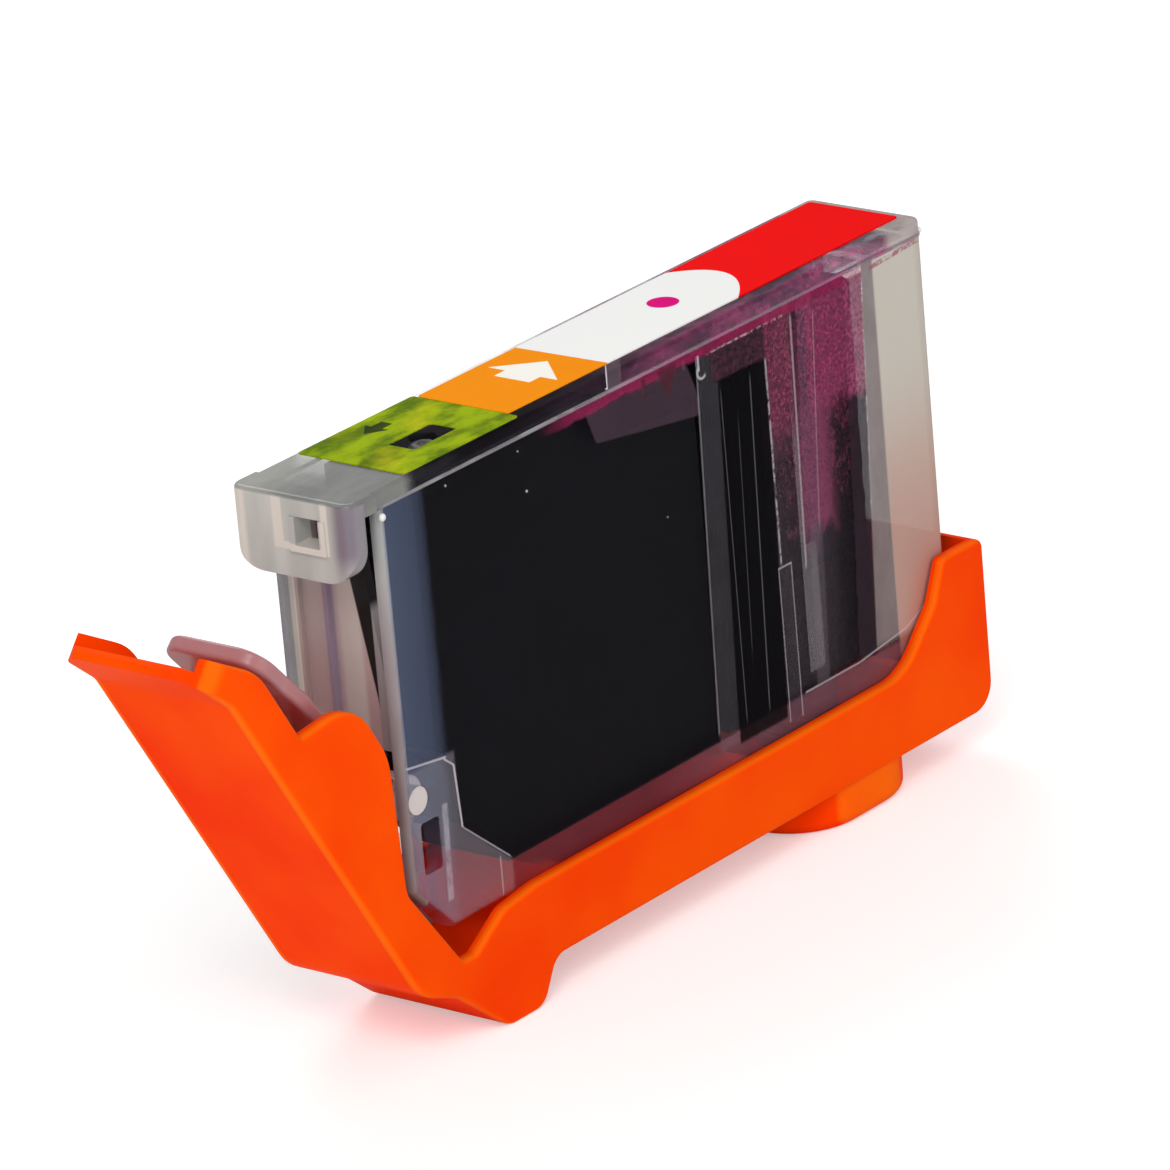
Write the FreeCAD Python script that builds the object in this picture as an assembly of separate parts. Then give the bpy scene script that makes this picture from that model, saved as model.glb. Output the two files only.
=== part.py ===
import FreeCAD, Part
import math
import os
from FreeCAD import Vector

# Single-colour inkjet ink tank standing in its clip-on shipping cap, in millimetres.
# X runs from the latch end to the rear, Y across the tank, Z up from the surface it stands on.
# Sizes below are laid out from the tank's front face (X = 0) and shifted to the middle on export.

# Tank
tank_width = 12.0
tank_length = 74.3
tank_height = 38.3
side_wall = 1.0
floor_wall = 1.4
floor_recess = 1.0
rim_wall = 1.1
rear_wall = 1.0
front_wall = 1.0
front_depth = 6.4
corner_round = 0.8
partition_wall = 1.2
guide_width = 2.7
guide_depth = 0.7
guide_top_gap = 1.2
groove_length = 6.3
divider_wall = 0.9
sponge_length = 13.8
end_wall = 1.2
rear_chamber_length = 5.9
passage_height = 2.0
passage_width = 4.0
baffle_rib = 0.5
baffle_count = 3
rib_depth = 0.5
rib_width = 0.5
rib_place = 3.6
rib_lift = 1.5
rib_top_gap = 0.8
flow_strip_width = 2.1
flow_strip_height = 13.0
slant_round = 0.7

# Front face and latch bay
face_plate = 1.0
face_setback = 0.6
face_rib = 0.5
face_rib_lift = 2.0
face_rib_places = (3.5, 0.5)
wedge_top = 2.6
wedge_lift = 3.0
wedge_reach = 3.1
bay_height = 16.8
chip_cut = 4.6
chip_wall = 1.0
post_width = 1.2
post_start = 3.9
post_depth = 0.8
post_lift = 1.0
post_top_gap = 2.0
window_width = 2.4
window_height = 4.6
window_gap = 0.8
window_round = 0.4

# Reservoir outline behind the latch bay
step_height = 14.6
step_depth = 1.2
lower_step_height = 7.9
slope_run = 5.8
step_round = 0.6

# Lid and hood
lid_thickness = 1.5
lid_round = 0.4
hood_reach = 3.9
hood_drop = 7.0
hood_overhang = 0.35
hood_start = 0.4
hood_plate = 1.8
hood_corner = 1.2
hood_lower_corner = 3.0
hood_window_width = 2.5
hood_window_height = 2.4
hood_window_offset = -1.8
hood_window_gap = 0.2
hood_rim = 0.6
hood_rim_height = 0.25
fill_hole_radius = 1.25
fill_hole_x = 11.6
fill_hole_y = -1.4
plug_sink = 0.5
plug_bevel = 0.3
dimple_depth = 0.3
dimple_radius = 0.6
vent_radius = 0.6
vent_setback = 5.3

# Sheets on the lid
film_start = 4.0
film_length = 14.9
film_width = 11.2
film_thickness = 0.1
film_window_length = 5.6
film_window_width = 2.8
label_end_gap = 1.1
label_width = 9.5
label_offset = 0.4
label_thickness = 0.12
sheet_gap = 0.1
sheet_corner = 0.3

# Ink, absorbers and outlet
fill_gap = 0.05
ink_top_gap = 0.6
bubble_length = 15.35
bubble_height = 4.3
bubble_tilt = 4.5
bubble_round = 1.4
bubble_lean = 0.6
foam_round = 0.6
foam_squeeze = 0.15
foam_top_gap = 1.4
felt_height = 10.5
outlet_place = 7.6
outlet_radius = 4.5
outlet_bore = 3.2
outlet_drop = 3.2
wick_bevel = 0.4
mesh_thickness = 0.25
mesh_recess = 0.5
pore_width = 0.45
pore_pitch = 0.8
pore_margin = 0.4
membrane_radius = 1.6
membrane_thickness = 0.3

# Chip on the slanted lower front edge
board_width = 8.4
board_thickness = 0.6
board_margin = 0.5
board_round = 0.4
pad_count = 4
pad_width = 1.3
pad_gap = 0.6
pad_length = 2.1
pad_thickness = 0.06
blob_width = 3.0
blob_height = 0.6
blob_y = -1.2
led_size = 1.2
led_height = 0.5
led_round = 0.25
led_y = 2.6
chip_pocket_length = 3.4
chip_pocket_width = 7.0

# Latch lever
pivot_x = 1.6
pivot_height = 12.4
pivot_radius = 1.2
pivot_clearance = 0.05
barrel_radius = 1.95
barrel_gap = 0.3
lever_angle = 42.7
lever_length = 25.0
lever_width = 8.6
lever_tip_width = 10.4
lever_thickness = 1.4
lever_tip_round = 2.6
lever_edge_round = 0.35
lever_waist = 0.45
lever_flare = 0.7
lever_curve = 8.0
trunnion_gap = 0.1
lever_rib = 0.6
lever_rib_width = 1.8
lever_rib_start = 1.0
lever_rib_end_gap = 3.5
lever_rib_slope = 1.5
catch_height = 0.9
catch_length = 2.2
catch_side_gap = 1.0
catch_round = 0.25
catch_place = 0.62

# Shipping cap
cap_wall = 1.1
side_gap = 0.3
seat_gap = 0.3
lobe_depth = 3.7
ledge_height = 5.1
ledge_wall = 1.2
ledge_front_gap = 5.4
ledge_cup_gap = 5.0
ledge_rear_gap = 5.4
trough_depth = 7.2
upstand_height = 15.7
upstand_length = 5.9
upstand_slope = 1.7
upstand_foot = 4.8
rear_gap = 2.6
rear_round = 2.6
rear_rib_width = 1.2
rear_rib_spread = 7.0
rear_rib_drop = 3.0
arm_foot_x = -1.75
arm_foot_height = 2.9
arm_angle = 59.3
arm_length = 37.8
arm_wall = 3.9
arm_foot_round = 5.0
lip_angle = 40.0
lip_length = 6.2
lip_corner = 4.2
lip_rise = 0.6
lip_run = 5.3
shoulder_back = 0.3
notch_back = 8.5
gusset_front = 11.4
gusset_back = 18.4
gusset_height = 10.1
gusset_round = 5.0
gusset_foot_x = -2.3
gusset_foot_height = 11.2
valley_x = 3.8
valley_width = 1.6
valley_height = 4.1
rim_start = 14.0
rim_slope = 4.6
rim_step = 0.6
edge_round = 0.45
corner_tight = 0.8
corner_soft = 2.5
corner_wide = 6.0
front_lobe_x = 8.9
front_lobe_length = 4.7
lobe_front_run = 6.1
lobe_rear_run = 2.0
lobe_lift = 1.2
cup_length = 17.4
cup_width = 14.2
cup_corner = 6.4
cup_edge_round = 1.1
boss_radius = 4.6
pad_disc_radius = 4.3
pad_disc_thickness = 1.5
pad_ring_width = 0.9
pad_ring_height = 0.3

# How far a cut runs past a face, and how far joined forms run into each other
spare = 1.0
join = 0.2

# Places that follow from the sizes
half_width = tank_width / 2
tank_bottom = lobe_depth + cap_wall + ledge_height + seat_gap
tank_top = tank_bottom + tank_height
lid_top = tank_top + lid_thickness
floor_bottom = tank_bottom + floor_recess
floor_top = floor_bottom + floor_wall
inner_half = half_width - side_wall
rear_end = tank_length - rear_wall
rear_start = rear_end - rear_chamber_length
sponge_end = rear_start - end_wall
sponge_start = sponge_end - sponge_length
groove_end = sponge_start - divider_wall
groove_start = groove_end - groove_length
partition_x = groove_start - guide_width / 2
guide_top = tank_top - guide_top_gap
step_x = front_depth + step_depth
outlet_x = sponge_start + outlet_place
outlet_bottom = floor_bottom - outlet_drop
pad_seat = outlet_bottom - seat_gap - pad_disc_thickness
vent_x = tank_length - vent_setback
pivot_z = tank_bottom + pivot_height
bay_top = tank_bottom + bay_height
cap_half = half_width + side_gap + cap_wall
cap_inner = cap_half - cap_wall
trough_floor = lobe_depth + cap_wall
cap_rear = tank_length + rear_gap + cap_wall
cup_start = outlet_x - cup_length / 2
open_top = lid_top + tank_height / 2


# A flat face from corners (u, v, radius) in the XZ, XY or YZ plane, its corners rounded by arcs.
def outline(corners, plane="XZ"):
    axes = {"XZ": (Vector(1, 0, 0), Vector(0, 0, 1)), "XY": (Vector(1, 0, 0), Vector(0, 1, 0)),
            "YZ": (Vector(0, 1, 0), Vector(0, 0, 1))}
    first, second = axes[plane]
    spots = [first * u + second * v for u, v, radius in corners]
    arrive = []
    leave = []
    edges = []
    for index, (u, v, radius) in enumerate(corners):
        spot = spots[index]
        back = (spots[index - 1] - spot).normalize()
        ahead = (spots[(index + 1) % len(spots)] - spot).normalize()
        half_angle = back.getAngle(ahead) / 2
        reach = radius / math.tan(half_angle)
        arrive.append(spot + back * reach)
        leave.append(spot + ahead * reach)
        if radius > 0:
            middle = (back + ahead).normalize() * (radius / math.sin(half_angle) - radius)
            edges.append(Part.Arc(arrive[-1], spot + middle, leave[-1]).toShape())
    for index in range(len(corners)):
        start = leave[index]
        end = arrive[(index + 1) % len(corners)]
        if start.distanceToPoint(end) > 0.0001:
            edges.append(Part.LineSegment(start, end).toShape())
    return Part.Face(Part.Wire(Part.__sortEdges__(edges)))


# A slab across the tank, from an outline in the XZ plane.
def slab(corners, y_low, y_high):
    face = outline(corners)
    face.translate(Vector(0, y_low, 0))
    return face.extrude(Vector(0, y_high - y_low, 0))


# A level plate, from an outline in the XY plane.
def plate(corners, z_low, z_high):
    face = outline(corners, "XY")
    face.translate(Vector(0, 0, z_low))
    return face.extrude(Vector(0, 0, z_high - z_low))


def block(x_low, x_high, y_low, y_high, z_low, z_high):
    return Part.makeBox(x_high - x_low, y_high - y_low, z_high - z_low, Vector(x_low, y_low, z_low))


def rectangle(u_low, u_high, v_low, v_high, radius=0.0):
    return [(u, v, radius) for u, v in ((u_low, v_low), (u_high, v_low), (u_high, v_high), (u_low, v_high))]


# A chain of corners moved to its left by a wall; inner corners tighten and outer ones widen.
def moved_chain(corners, wall):
    points = [Vector(u, v, 0) for u, v, radius in corners]
    sides = []
    for start, end in zip(points, points[1:]):
        run = (end - start).normalize()
        sides.append((start + Vector(-run.y, run.x, 0) * wall, run))
    result = [(sides[0][0].x, sides[0][0].y, 0.0)]
    for index in range(1, len(points) - 1):
        base, run = sides[index - 1]
        other, turn = sides[index]
        cross = run.x * turn.y - run.y * turn.x
        offset = other - base
        along = (offset.x * turn.y - offset.y * turn.x) / cross
        spot = base + run * along
        radius = corners[index][2] - math.copysign(wall, cross)
        result.append((spot.x, spot.y, max(radius, 0.0)))
    last, run = sides[-1]
    spot = last + (points[-1] - points[-2])
    result.append((spot.x, spot.y, 0.0))
    return result


# Side outline of the tank, with the slanted edge that carries the chip at its lower front.
def tank_outline():
    return [(0, tank_top, 0.0), (0, tank_bottom + chip_cut, slant_round),
            (chip_cut, tank_bottom, slant_round), (tank_length, tank_bottom, corner_round),
            (tank_length, tank_top, 0.0)]


# Stepped front boundary of the reservoir, from a height down to its floor.
def reservoir_front(top):
    return [(front_depth, top, 0.0), (front_depth, tank_bottom + step_height, step_round),
            (step_x, tank_bottom + step_height - step_depth, step_round),
            (step_x, tank_bottom + lower_step_height, step_round), (step_x + slope_run, floor_top, 0.0)]


def reservoir_outline(wall_gap):
    chain = moved_chain(reservoir_front(tank_top), wall_gap)
    slope_start = chain[-2]
    slope_end = chain[-1]
    share = (slope_start[1] - floor_top - wall_gap) / (slope_start[1] - slope_end[1])
    foot_x = slope_start[0] + (slope_end[0] - slope_start[0]) * share
    back = partition_x - partition_wall / 2 - wall_gap
    top = tank_top - wall_gap
    return [(chain[0][0], top, 0.0)] + chain[1:-1] + [(foot_x, floor_top + wall_gap, 0.0),
                                                      (back, floor_top + wall_gap, 0.0), (back, top, 0.0)]


# Open space in front of the reservoir wall, where the lever and the chip sit.
def bay_outline():
    near = moved_chain(reservoir_front(bay_top), -front_wall)
    slant = chip_wall * math.sqrt(2)
    low = floor_bottom
    foot_x = near[-2][0] + near[-2][1] - low
    return [(-spare, bay_top, 0.0), (near[0][0], bay_top, 0.0), near[1], near[2], near[3],
            (foot_x, low, 0.0), (chip_cut + slant - floor_recess, low, 0.0),
            (-spare, tank_bottom + chip_cut + spare + slant, 0.0)]


# A spot near one side wall and the same spot near the other, as two ranges of Y.
def both_sides(outer, depth):
    return [(-outer, -outer + depth), (outer - depth, outer)]


def build_tank_body():
    body = slab(tank_outline(), -half_width, half_width)
    uprights = []
    for edge in body.Edges:
        level = abs(edge.Vertexes[0].Z - edge.Vertexes[-1].Z)
        if level > tank_height / 2 and edge.BoundBox.XMin > tank_length - 0.01:
            uprights.append(edge)
    body = body.makeFillet(corner_round, uprights)

    # Chambers, open to the lid
    cuts = [slab(reservoir_outline(0.0), -inner_half, inner_half)]
    groove_low = partition_x + partition_wall / 2
    for low, high in ((groove_low, groove_end), (sponge_start, sponge_end), (rear_start, rear_end)):
        cuts.append(block(low, high, -inner_half, inner_half, floor_top, open_top))
    half_passage = passage_width / 2
    cuts.append(block(partition_x - guide_width, sponge_start + join, -half_passage, half_passage,
                      floor_top, floor_top + passage_height))

    # Latch bay and the space behind the face plate
    cuts.append(slab(bay_outline(), -inner_half, inner_half))
    plate_back = face_setback + face_plate
    back_wall = front_depth - front_wall
    cuts.append(block(plate_back, back_wall, -inner_half, inner_half, bay_top - join, open_top))
    cuts.append(block(-spare, face_setback, -inner_half, inner_half, bay_top - join, tank_top))
    wedge = outline([(-inner_half, bay_top + wedge_lift, 0.0), (-inner_half, tank_top, 0.0),
                     (-inner_half + wedge_top, tank_top, 0.0)], "YZ")
    cuts.append(wedge.extrude(Vector(wedge_reach - spare, 0, 0)))

    # Recess under the floor, and the bearing holes and windows in the side walls
    recess_half = half_width - rim_wall
    cuts.append(block(step_x + slope_run, tank_length - rim_wall, -recess_half, recess_half,
                      tank_bottom - spare, floor_bottom))
    hole = pivot_radius + pivot_clearance
    start = Vector(pivot_x, -half_width - spare, pivot_z)
    cuts.append(Part.makeCylinder(hole, tank_width + 2 * spare, start, Vector(0, 1, 0)))
    window_top = pivot_z - hole - window_gap
    window = rectangle(post_start - window_width, post_start, window_top - window_height, window_top,
                       window_round)
    cuts.append(slab(window, -half_width - spare, half_width + spare))
    # Opening behind the chip, for its cover and its lamp
    cuts.append(on_slant(block(-chip_pocket_length / 2, chip_pocket_length / 2, -chip_pocket_width / 2,
                               chip_pocket_width / 2, -chip_wall - spare / 2, 0.0)))
    for cutter in cuts:
        body = body.cut(cutter)

    # Guides beside the partition, baffle ribs in the groove chamber and ribs in the sponge chamber
    adds = []
    for low, high in both_sides(inner_half, guide_depth):
        adds.append(block(groove_start - guide_width, groove_start, low, high, floor_top, guide_top))
    pitch = groove_length / baffle_count
    for low, high in both_sides(inner_half, rib_depth):
        for index in range(baffle_count):
            rib_x = groove_start + pitch * (index + 0.5) - baffle_rib / 2
            adds.append(block(rib_x, rib_x + baffle_rib, low, high, floor_top + passage_height,
                              tank_top - rib_top_gap))
        rib_x = sponge_start + rib_place
        rib_foot = floor_top + rib_lift
        adds.append(block(rib_x, rib_x + rib_width, low, high, rib_foot, tank_top - rib_top_gap))
        strip_top = floor_top + flow_strip_height
        strip = rectangle(rib_x, rib_x + flow_strip_width, rib_foot, strip_top, rib_width)
        adds.append(slab(strip, low, high))
    # Ribs on the face plate, beside its flat centre
    for rib_y in face_rib_places:
        adds.append(block(face_setback - face_rib, face_setback, rib_y, rib_y + face_rib,
                          bay_top + face_rib_lift, tank_top))
    # Posts beside the windows, in front of the reservoir wall
    for low, high in both_sides(inner_half, post_depth):
        adds.append(block(post_start, post_start + post_width, low, high, floor_bottom + post_lift,
                          tank_bottom + step_height - post_top_gap))
    # Outlet collar under the sponge
    adds.append(Part.makeCylinder(outlet_radius, outlet_drop + join, Vector(outlet_x, 0, outlet_bottom)))
    body = body.fuse(adds)
    bore = Part.makeCylinder(outlet_bore, floor_top - outlet_bottom + 2 * spare,
                             Vector(outlet_x, 0, outlet_bottom - spare))
    return body.cut(bore).removeSplitter()


def build_lid():
    hood_half = half_width + hood_overhang
    side = [(-hood_reach, hood_corner), (-hood_start, hood_overhang / 2)]
    outer = [(x, -hood_half, radius) for x, radius in side]
    outer += [(-hood_start, -half_width, 0.0), (tank_length, -half_width, corner_round),
              (tank_length, half_width, corner_round), (-hood_start, half_width, 0.0)]
    outer += [(x, hood_half, radius) for x, radius in reversed(side)]
    top = plate(outer, tank_top, lid_top)
    upper_edges = [edge for edge in top.Edges if edge.BoundBox.ZMin > lid_top - lid_round / 2]
    top = top.makeFillet(lid_round, upper_edges)
    # Hood: a curved flap that hangs from the lid in front of the latch
    hood_low = lid_top - hood_drop
    flap_plan = [(-hood_reach, -hood_half, hood_corner), (-hood_reach + hood_plate, -hood_half, 0.0),
                 (-hood_reach + hood_plate, hood_half, 0.0), (-hood_reach, hood_half, hood_corner)]
    flap = plate(flap_plan, hood_low, tank_top + lid_thickness / 2)
    front_shape = outline([(-hood_half, hood_low, hood_lower_corner),
                           (hood_half, hood_low, hood_lower_corner),
                           (hood_half, lid_top, 0.0), (-hood_half, lid_top, 0.0)], "YZ")
    front_shape.translate(Vector(-hood_reach - spare, 0, 0))
    flap = flap.common(front_shape.extrude(Vector(hood_plate + 2 * spare, 0, 0)))
    lid = top.fuse(flap)
    # Window through the flap with a raised U rim around it
    window_top = tank_top - hood_window_gap
    window_low = window_top - hood_window_height
    low_y = hood_window_offset - hood_window_width / 2
    high_y = hood_window_offset + hood_window_width / 2
    lid = lid.fuse(block(-hood_reach - hood_rim_height, -hood_reach + join, low_y - hood_rim,
                         high_y + hood_rim, window_low - hood_rim, window_top))
    lid = lid.cut(block(-hood_reach - spare, -hood_reach + hood_plate + spare / 2, low_y, high_y,
                        window_low, window_top))
    # Fill hole and vent hole
    for radius, hole_x, hole_y in ((fill_hole_radius, fill_hole_x, fill_hole_y), (vent_radius, vent_x, 0)):
        spot = Vector(hole_x, hole_y, tank_top - spare)
        lid = lid.cut(Part.makeCylinder(radius, lid_thickness + 2 * spare, spot))
    return lid.removeSplitter()


# Ink in the reservoir, less the bubble under the lid, with the ink beyond the partition.
def build_ink():
    reservoir = slab(reservoir_outline(fill_gap), -inner_half + fill_gap, inner_half - fill_gap)
    guide_face = groove_start - guide_width
    drop = math.tan(math.radians(bubble_tilt)) * bubble_length
    front = partition_x - bubble_length
    bubble = slab([(front, tank_top - bubble_height, bubble_round),
                   (partition_x, tank_top - bubble_height - drop, 0.0), (partition_x, tank_top + spare, 0.0),
                   (front + bubble_lean, tank_top + spare, 0.0)], -half_width, half_width)
    reservoir = reservoir.cut(bubble)
    half = inner_half - rib_depth - 2 * fill_gap
    groove = block(partition_x + partition_wall / 2 + fill_gap, groove_end - fill_gap, -half, half,
                   floor_top + fill_gap, tank_top - ink_top_gap)
    for low, high in both_sides(inner_half, guide_depth + fill_gap):
        reservoir = reservoir.cut(block(guide_face - fill_gap, groove_start, low, high, floor_top,
                                        guide_top + fill_gap))
        groove = groove.cut(block(partition_x, groove_start + fill_gap, low, high, floor_top, tank_top))
    link = block(partition_x - guide_width, groove_start + spare, -passage_width / 2 + fill_gap,
                 passage_width / 2 - fill_gap, floor_top + fill_gap, floor_top + passage_height - fill_gap)
    return reservoir.fuse([groove, link]).removeSplitter()


def absorber(z_low, z_high, taper):
    half = inner_half - rib_depth - 2 * fill_gap
    sections = []
    for z, squeeze in ((z_low, taper), (z_high, 0.0)):
        section = outline(rectangle(sponge_start + fill_gap + squeeze, sponge_end - fill_gap - squeeze,
                                    -half, half, foam_round), "XY")
        section.translate(Vector(0, 0, z))
        sections.append(section.OuterWire)
    return Part.makeLoft(sections, True, True)


def build_felt():
    return absorber(floor_top + fill_gap, floor_top + felt_height, 0.0)


def build_sponge():
    return absorber(floor_top + felt_height, tank_top - foam_top_gap, foam_squeeze)


def build_wick():
    low = outlet_bottom + mesh_recess + mesh_thickness
    radius = outlet_bore - fill_gap
    tip = Part.makeCone(radius - wick_bevel, radius, wick_bevel, Vector(outlet_x, 0, low))
    low += wick_bevel
    return tip.fuse(Part.makeCylinder(radius, floor_top - low, Vector(outlet_x, 0, low))).removeSplitter()


# Woven filter screen: a disc with a square grid of pores.
def build_mesh():
    low = outlet_bottom + mesh_recess
    radius = outlet_bore - fill_gap
    screen = Part.makeCylinder(radius, mesh_thickness, Vector(outlet_x, 0, low))
    steps = range(-int(radius / pore_pitch), int(radius / pore_pitch) + 1)
    pores = []
    for across in steps:
        for along in steps:
            x = outlet_x + along * pore_pitch
            y = across * pore_pitch
            if math.hypot(x - outlet_x, y) < radius - pore_margin - pore_width / 2:
                pores.append(block(x - pore_width / 2, x + pore_width / 2, y - pore_width / 2,
                                   y + pore_width / 2, low - spare, low + spare))
    return screen.cut(Part.makeCompound(pores))


# Puts a shape drawn level, with its face up, on the slanted edge: its face turns out and down.
def on_slant(shape):
    shape.rotate(Vector(0, 0, 0), Vector(0, 1, 0), -135)
    middle = chip_cut / 2
    shape.translate(Vector(middle, 0, tank_bottom + middle))
    return shape


def build_board():
    half_run = chip_cut / math.sqrt(2) - board_margin
    return on_slant(plate(rectangle(-half_run, half_run, -board_width / 2, board_width / 2, board_round),
                          0.0, board_thickness))


def build_contacts():
    pads = []
    pitch = pad_width + pad_gap
    for index in range(pad_count):
        low = pitch * (index - (pad_count - 1) / 2) - pad_width / 2
        pads.append(on_slant(block(-pad_length / 2, pad_length / 2, low, low + pad_width,
                                   board_thickness, board_thickness + pad_thickness)))
    return Part.makeCompound(pads)


# Epoxy drop over the chip, on the board's inner face: a cap of a larger ball.
def build_blob():
    ball = ((blob_width / 2) ** 2 + blob_height ** 2) / (2 * blob_height)
    dome = Part.makeSphere(ball, Vector(0, blob_y, ball - blob_height))
    return on_slant(dome.common(block(-ball, ball, blob_y - ball, blob_y + ball, -ball, 0.0)))


def build_led():
    low = led_y - led_size / 2
    square = rectangle(-led_size / 2, led_size / 2, low, low + led_size, led_round)
    return on_slant(plate(square, -led_height, 0.0))


# Film over the front of the lid, with the opening that shows the fill hole.
def build_film():
    sheet = rectangle(film_start, film_start + film_length, -film_width / 2, film_width / 2, sheet_corner)
    left = fill_hole_x - film_window_length / 2
    low = fill_hole_y - film_window_width / 2
    window = rectangle(left, left + film_window_length, low, low + film_window_width, sheet_corner)
    film = plate(sheet, lid_top, lid_top + film_thickness)
    return film.cut(plate(window, lid_top - spare, lid_top + spare))


def build_label():
    start = film_start + film_length + sheet_gap
    low = label_offset - label_width / 2
    sheet = rectangle(start, tank_length - label_end_gap, low, low + label_width, sheet_corner)
    return plate(sheet, lid_top, lid_top + label_thickness)


def build_fill_plug():
    height = lid_thickness - plug_sink
    spot = Vector(fill_hole_x, fill_hole_y, tank_top)
    plug = Part.makeCylinder(fill_hole_radius, height, spot)
    rims = [edge for edge in plug.Edges if edge.BoundBox.ZLength < plug_bevel]
    plug = plug.makeChamfer(plug_bevel, rims)
    spot += Vector(0, 0, height - dimple_depth)
    return plug.cut(Part.makeCone(dimple_radius / 3, dimple_radius, dimple_depth, spot))


def build_membrane():
    low = tank_top - membrane_thickness
    return Part.makeCylinder(membrane_radius, membrane_thickness, Vector(vent_x, 0, low))


# Lever: barrel with trunnions, and a blade that widens to its rounded tip.
def build_lever():
    half_barrel = inner_half - barrel_gap
    barrel = Part.makeCylinder(barrel_radius, 2 * half_barrel, Vector(0, -half_barrel, 0), Vector(0, 1, 0))
    trunnion = Part.makeCylinder(pivot_radius, tank_width - 2 * trunnion_gap,
                                 Vector(0, -half_width + trunnion_gap, 0), Vector(0, 1, 0))
    root = lever_width / 2
    tip = lever_tip_width / 2
    waist_x = lever_length * lever_waist
    flare_x = lever_length * lever_flare
    blade = plate([(0, -root, 0.0), (waist_x, -root, lever_curve), (flare_x, -tip, lever_curve),
                   (lever_length, -tip, lever_tip_round), (lever_length, tip, lever_tip_round),
                   (flare_x, tip, lever_curve), (waist_x, root, lever_curve), (0, root, 0.0)],
                  -lever_thickness / 2, lever_thickness / 2)
    tip_x = lever_length - lever_tip_round - lever_edge_round
    tip_edges = [edge for edge in blade.Edges if edge.BoundBox.XMin > tip_x
                 and edge.BoundBox.ZLength < lever_thickness / 2]
    blade = blade.makeFillet(lever_edge_round, tip_edges)
    rib_top = lever_thickness / 2 + lever_rib
    rib_end = lever_length - lever_rib_end_gap
    rib = slab([(lever_rib_start, 0, 0.0), (rib_end, 0, 0.0), (rib_end - lever_rib_slope, rib_top, 0.0),
                (lever_rib_start, rib_top, 0.0)], -lever_rib_width / 2, lever_rib_width / 2)
    catch_x = lever_length * catch_place
    low = -lever_thickness / 2
    catch_back = catch_x + catch_length
    catch = slab([(catch_x, 0, 0.0), (catch_back, 0, 0.0), (catch_back, low, 0.0),
                  (catch_x, low - catch_height, catch_round)], -root + catch_side_gap, root - catch_side_gap)
    lever = barrel.fuse([trunnion, blade, rib, catch]).removeSplitter().Solids[0]
    # The blade's upper face looks at the tank once it is turned up to its rest angle
    lever.rotate(Vector(0, 0, 0), Vector(0, 1, 0), -90 - lever_angle)
    lever.translate(Vector(pivot_x, 0, pivot_z))
    return lever


# A point of the arm's side: a distance up the arm from its foot, and a height above its outer face.
def on_arm(along, height):
    lean = math.radians(arm_angle)
    return (arm_foot_x - along * math.cos(lean) + height * math.sin(lean),
            lobe_depth + arm_foot_height + along * math.sin(lean) + height * math.cos(lean))


# What is taken off the lip's two corners, seen square to the lip.
def lip_corners():
    low = lip_length - lip_corner
    pieces = []
    for side in (-1, 1):
        middle = side * (cap_half - lip_corner)
        edge = side * (cap_half + spare)
        low_y, high_y = sorted((middle, edge))
        corner = block(low, lip_length + spare, low_y, high_y, -lip_length, lip_length)
        round_off = Part.makeCylinder(lip_corner, 2 * lip_length, Vector(low, middle, -lip_length))
        pieces.append(corner.cut(round_off))
    corners = Part.makeCompound(pieces)
    corners.rotate(Vector(0, 0, 0), Vector(0, 1, 0), 180 + lip_angle)
    bend_x, bend_z = on_arm(arm_length, 0.0)
    corners.translate(Vector(bend_x, 0, bend_z))
    return corners


# Underside of the cap in side view, from the arm's tip to the top of the rear wall.
def cap_underside():
    bend = on_arm(arm_length, 0.0)
    lean = math.radians(lip_angle)
    tip = (bend[0] - lip_length * math.cos(lean), bend[1] + lip_length * math.sin(lean))
    foot = on_arm(0.0, 0.0)
    lobe_back = front_lobe_x + front_lobe_length
    return [(tip[0], tip[1], 0.0), (bend[0], bend[1], corner_soft), (foot[0], foot[1], arm_foot_round),
            (front_lobe_x - lobe_front_run, lobe_depth + lobe_lift, corner_soft),
            (front_lobe_x, 0.0, corner_soft), (lobe_back, 0.0, lobe_rear_run),
            (lobe_back + lobe_rear_run, lobe_depth, lobe_rear_run), (cap_rear, lobe_depth, rear_round),
            (cap_rear, lobe_depth + upstand_height, 0.0)]


# Rim of the cap in side view, from the top of the rear wall forward to the arm's tip.
def cap_rim():
    rim = lobe_depth + trough_depth
    upstand_x = cap_rear - upstand_length - upstand_slope
    valley_top = lobe_depth + valley_height
    arm_side = ((arm_length - gusset_back, gusset_height, corner_wide),
                (arm_length - gusset_front, gusset_height, gusset_round),
                (arm_length - notch_back, arm_wall, edge_round),
                (arm_length - shoulder_back, arm_wall, corner_wide),
                (arm_length + lip_run, lip_rise, corner_tight))
    rim_side = [(cap_rear - upstand_length, lobe_depth + upstand_height, corner_tight),
                (upstand_x, rim + upstand_foot, corner_soft), (upstand_x - upstand_foot, rim, corner_wide),
                (rim_start, rim, corner_wide), (rim_start - rim_slope, rim - rim_step, corner_soft),
                (valley_x + valley_width, valley_top, corner_tight), (valley_x, valley_top, corner_tight),
                (gusset_foot_x, trough_floor + gusset_foot_height, corner_soft)]
    return rim_side + [on_arm(along, height) + (radius,) for along, height, radius in arm_side]


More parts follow.
